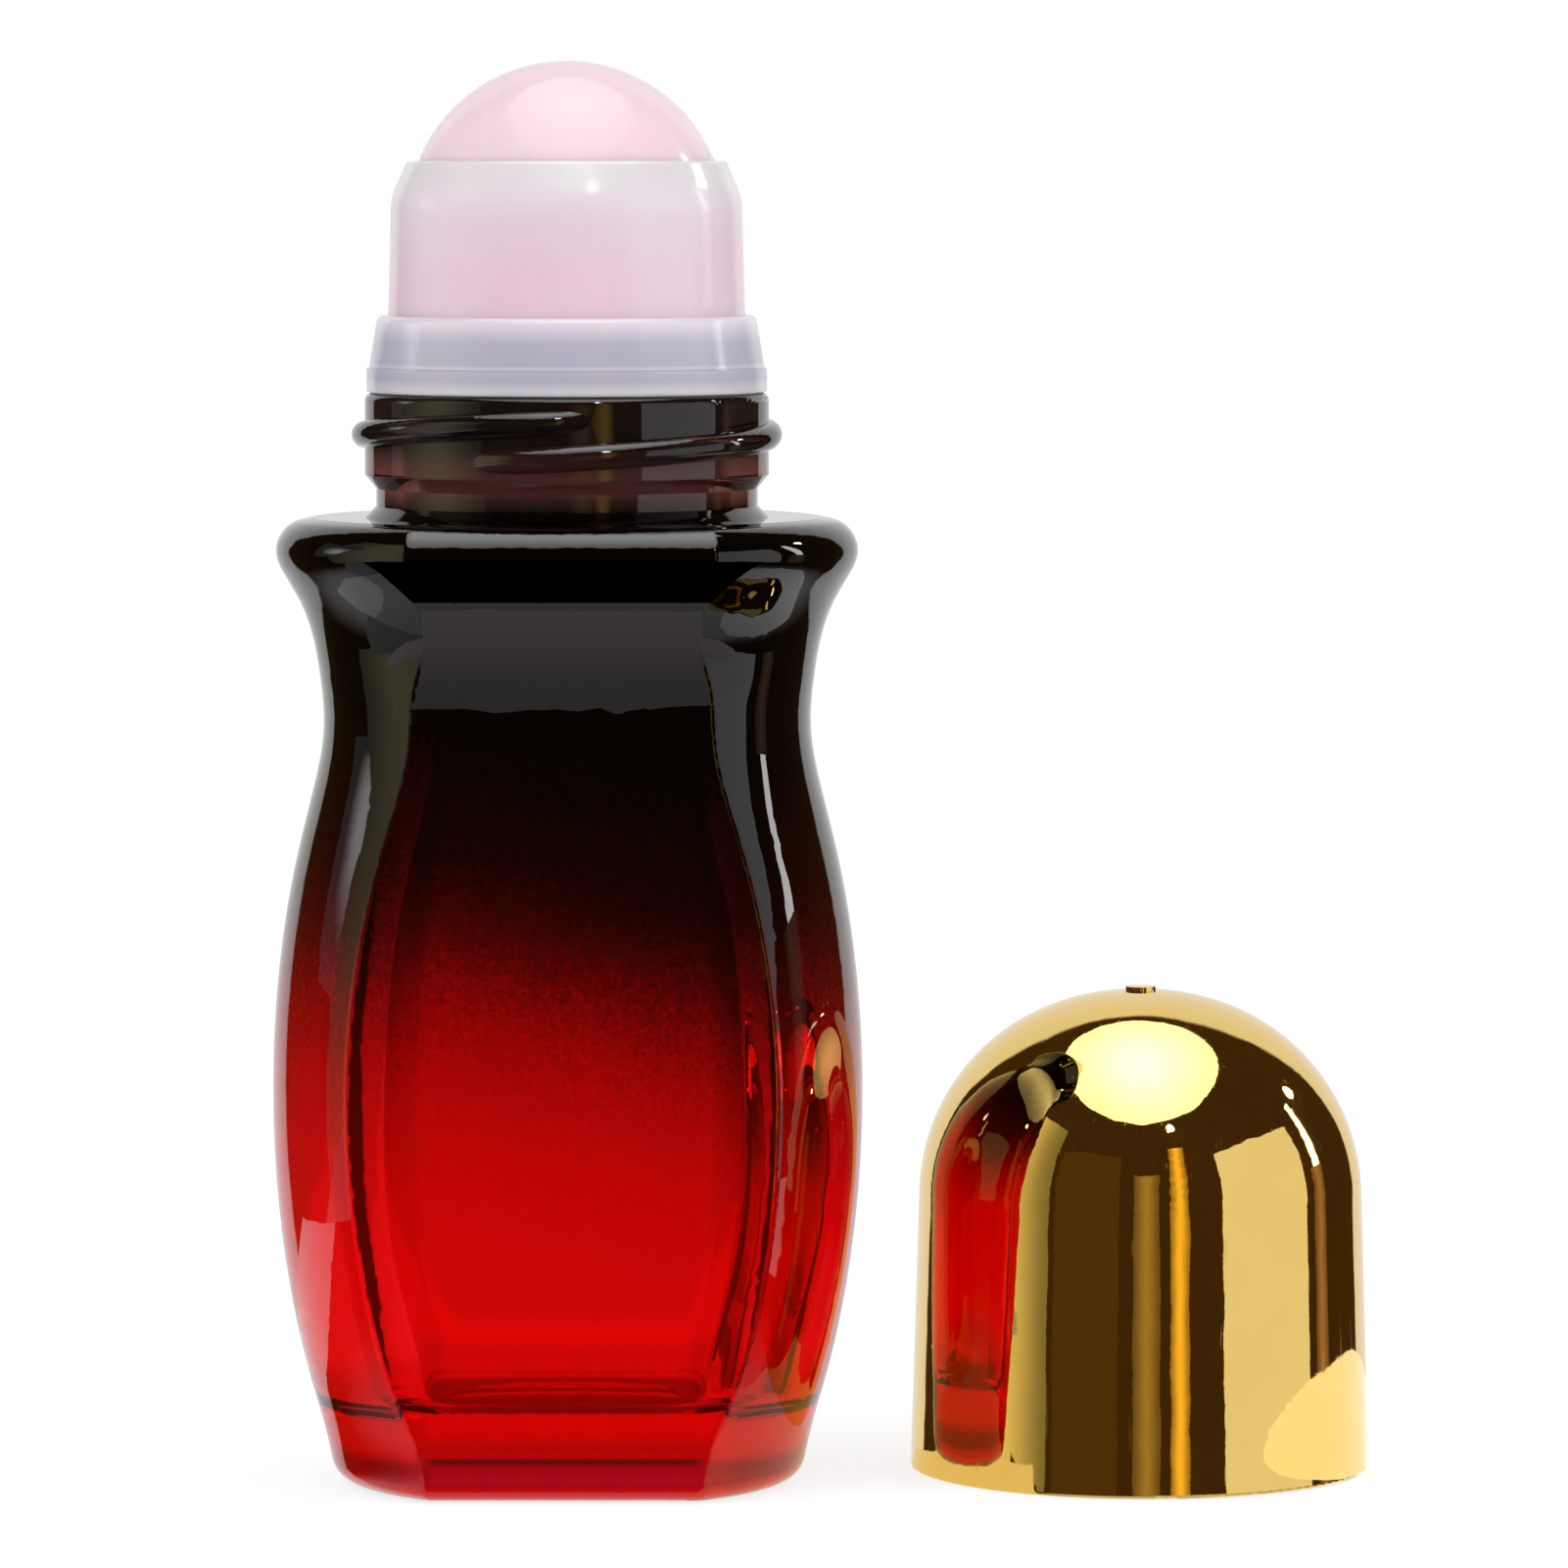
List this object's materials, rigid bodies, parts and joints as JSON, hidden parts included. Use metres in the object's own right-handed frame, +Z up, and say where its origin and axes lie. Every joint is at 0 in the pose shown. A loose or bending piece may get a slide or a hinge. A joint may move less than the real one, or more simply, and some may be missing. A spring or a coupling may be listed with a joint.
{
  "type": "roll-on bottle",
  "caption": "Waisted glass roll-on bottle fading from black to red, with a roller ball in a translucent housing and its gold domed screw cap standing beside it.",
  "frame": {"origin": "on the bottle's axis at the level it stands on", "axes": "+Z up along the bottle's axis, +X towards the cap that stands beside the bottle, -Y towards the front panel"},
  "size_m": [0.0882, 0.045, 0.1134],
  "materials": {
    "coated_glass": "gloss coating, black at the top fading to translucent red",
    "milky_plastic": "milky translucent, satin",
    "ball_plastic": "polished pale pink",
    "plated_plastic": "mirror gold plating",
    "seal_plastic": "soft white"
  },
  "bodies": {
    "bottle": {"glass_bottle": "coated_glass"},
    "housing": {"roller_housing": "milky_plastic"},
    "ball": {"roller_ball": "ball_plastic"},
    "cap": {"cap_shell": "plated_plastic", "cap_seal": "seal_plastic"}
  },
  "joints": [
    {"name": "housing_pull", "type": "slide", "parent": "bottle", "child": "housing", "axis": [0, 0, 1], "range_m": [0, 0.03]},
    {"name": "ball_roll", "type": "hinge", "parent": "housing", "child": "ball", "pos_m": [0, 0, 0.10072], "axis": [1, 0, 0], "continuous": true},
    {"name": "cap_lift", "type": "slide", "parent": "bottle", "child": "cap", "axis": [0, 0, 1], "range_m": [0, 0.12]}
  ]
}
